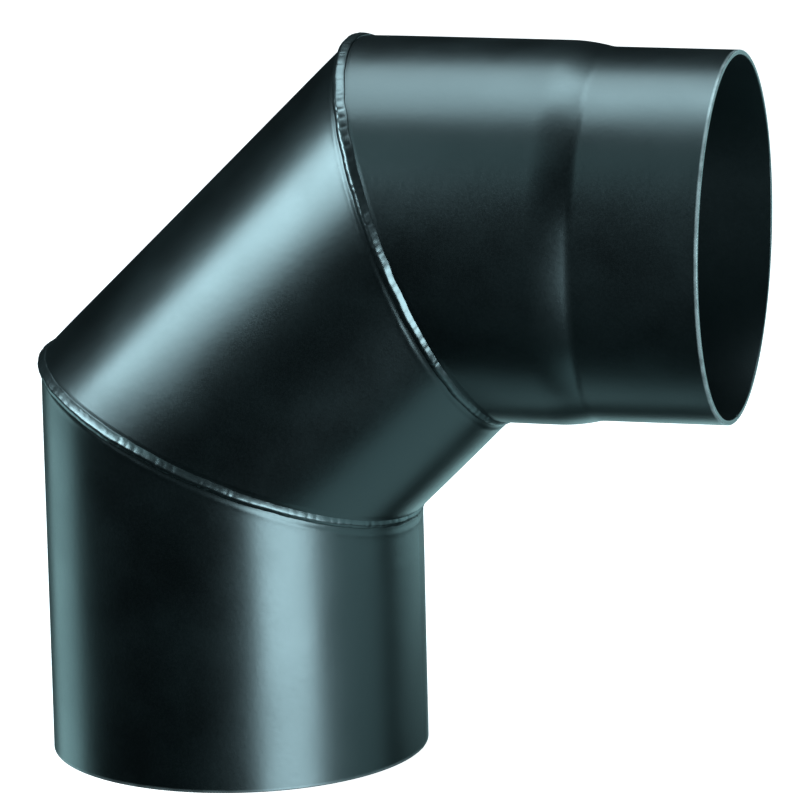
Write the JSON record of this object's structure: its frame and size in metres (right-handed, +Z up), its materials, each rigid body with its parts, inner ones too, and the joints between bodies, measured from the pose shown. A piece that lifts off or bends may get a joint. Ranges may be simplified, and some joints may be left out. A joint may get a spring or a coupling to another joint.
{
  "type": "flue elbow",
  "caption": "Right-angle stove-pipe elbow welded from mitred sheet-steel pipe, with a plain socket at one end and a swaged spigot at the other.",
  "frame": {"origin": "centre of the lower rim, on the axis of the socket", "axes": "+Z up the axis of the lower leg, +X along the upper leg towards the spigot's end, Y across"},
  "size_m": [0.2887, 0.1572, 0.2967],
  "materials": {
    "stove_paint": "satin heat-resistant black paint with a blue-green cast",
    "weld_paint": "the same paint over rippled weld beads"
  },
  "bodies": {
    "root": {"lower_leg": "stove_paint", "middle_gore": "stove_paint", "upper_leg": "stove_paint", "lower_mitre_weld": "weld_paint", "upper_mitre_weld": "weld_paint", "lower_leg_seam_weld": "weld_paint", "middle_gore_seam_weld": "weld_paint", "upper_leg_seam_weld": "weld_paint"}
  },
  "joints": []
}
